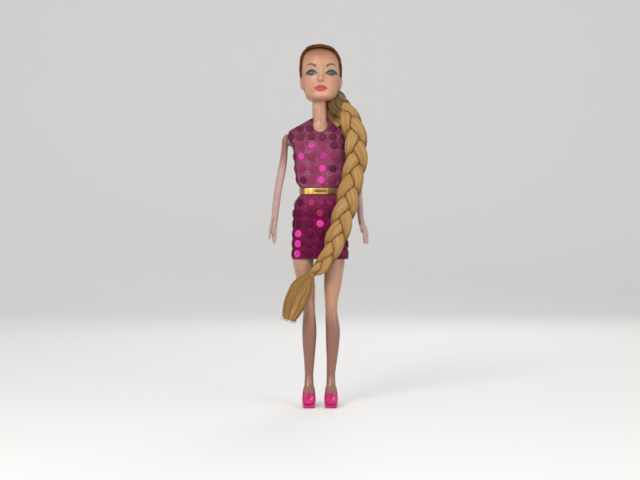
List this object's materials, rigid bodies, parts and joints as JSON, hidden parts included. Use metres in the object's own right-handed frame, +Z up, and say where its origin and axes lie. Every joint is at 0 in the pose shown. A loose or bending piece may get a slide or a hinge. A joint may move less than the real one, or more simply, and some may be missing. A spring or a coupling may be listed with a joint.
{
  "type": "fashion doll",
  "caption": "Slim standing fashion doll in a sequinned mini dress with a gold belt, a long braid over one shoulder, and jointed neck, shoulders, hips and knees.",
  "frame": {"origin": "middle of the footprint of the whole doll's box, at the level of the shoe soles", "axes": "+Z up the doll, -Y is the way its face and toes point, +X is the doll's own left side"},
  "size_m": [0.0794, 0.0463, 0.28],
  "materials": {
    "skin_vinyl": "warm tan vinyl with a soft sheen",
    "face_vinyl": "warm tan vinyl with painted eyes, brows and lips",
    "inner_plastic": "pale stiff plastic, out of sight",
    "axle_plastic": "pale stiff plastic, out of sight",
    "rooted_hair": "auburn brown synthetic hair, combed back",
    "blonde_hair": "golden blonde synthetic hair, braided",
    "hair_elastic": "thin golden elastic",
    "dress_mesh": "magenta net with rows of round foil sequins",
    "closure_tape": "dark magenta hook and loop tape",
    "belt_ribbon": "bright gold foil belt",
    "buckle_metal": "gold plated plastic buckle",
    "shoe_plastic": "glossy pink plastic"
  },
  "bodies": {
    "torso": {"torso_front": "skin_vinyl", "torso_back": "skin_vinyl", "neck_knob": "inner_plastic", "hip_axle": "axle_plastic", "dress_bodice": "dress_mesh", "dress_skirt": "dress_mesh", "dress_closure": "closure_tape", "belt": "belt_ribbon", "belt_buckle": "buckle_metal", "hair_gather": "rooted_hair", "braid_strand_1": "blonde_hair", "braid_strand_2": "blonde_hair", "braid_strand_3": "blonde_hair", "braid_band": "hair_elastic", "hair_tail": "blonde_hair"},
    "head": {"head_shell": "face_vinyl", "hair_cap": "rooted_hair"},
    "left_arm": {"left_arm": "skin_vinyl", "left_shoulder_peg": "inner_plastic"},
    "left_thigh": {"left_thigh": "skin_vinyl", "left_thigh_core": "inner_plastic", "left_knee_sleeve": "skin_vinyl", "left_knee_pin": "axle_plastic"},
    "left_shin": {"left_shin": "skin_vinyl", "left_shin_core": "inner_plastic", "left_shoe": "shoe_plastic"},
    "right_arm": {"right_arm": "skin_vinyl", "right_shoulder_peg": "inner_plastic"},
    "right_thigh": {"right_thigh": "skin_vinyl", "right_thigh_core": "inner_plastic", "right_knee_sleeve": "skin_vinyl", "right_knee_pin": "axle_plastic"},
    "right_shin": {"right_shin": "skin_vinyl", "right_shin_core": "inner_plastic", "right_shoe": "shoe_plastic"}
  },
  "joints": [
    {"name": "neck_turn", "type": "hinge", "parent": "torso", "child": "head", "pos_m": [0, 0.0022, 0.236], "axis": [0, 0, 1], "range_deg": [-90, 90], "deforming": ["hair_gather"]},
    {"name": "left_shoulder", "type": "hinge", "parent": "torso", "child": "left_arm", "pos_m": [0.0201, 0.0022, 0.205], "axis": [-1, 0, 0], "range_deg": [-180, 180]},
    {"name": "right_shoulder", "type": "hinge", "parent": "torso", "child": "right_arm", "pos_m": [-0.0201, 0.0022, 0.205], "axis": [-1, 0, 0], "range_deg": [-180, 180]},
    {"name": "left_hip", "type": "hinge", "parent": "torso", "child": "left_thigh", "pos_m": [0.0123, 0.0022, 0.135], "axis": [-1, 0, 0], "range_deg": [-20, 90], "deforming": ["braid_strand_1", "braid_strand_2", "braid_strand_3", "braid_band", "hair_tail"]},
    {"name": "right_hip", "type": "hinge", "parent": "torso", "child": "right_thigh", "pos_m": [-0.0123, 0.0022, 0.135], "axis": [-1, 0, 0], "range_deg": [-20, 90], "deforming": ["dress_skirt"]},
    {"name": "left_knee", "type": "hinge", "parent": "left_thigh", "child": "left_shin", "pos_m": [0.0088, 0.0022, 0.0765], "axis": [1, 0, 0], "range_deg": [0, 90], "deforming": ["left_knee_sleeve"]},
    {"name": "right_knee", "type": "hinge", "parent": "right_thigh", "child": "right_shin", "pos_m": [-0.0088, 0.0022, 0.0765], "axis": [1, 0, 0], "range_deg": [0, 90], "deforming": ["right_knee_sleeve"]}
  ]
}
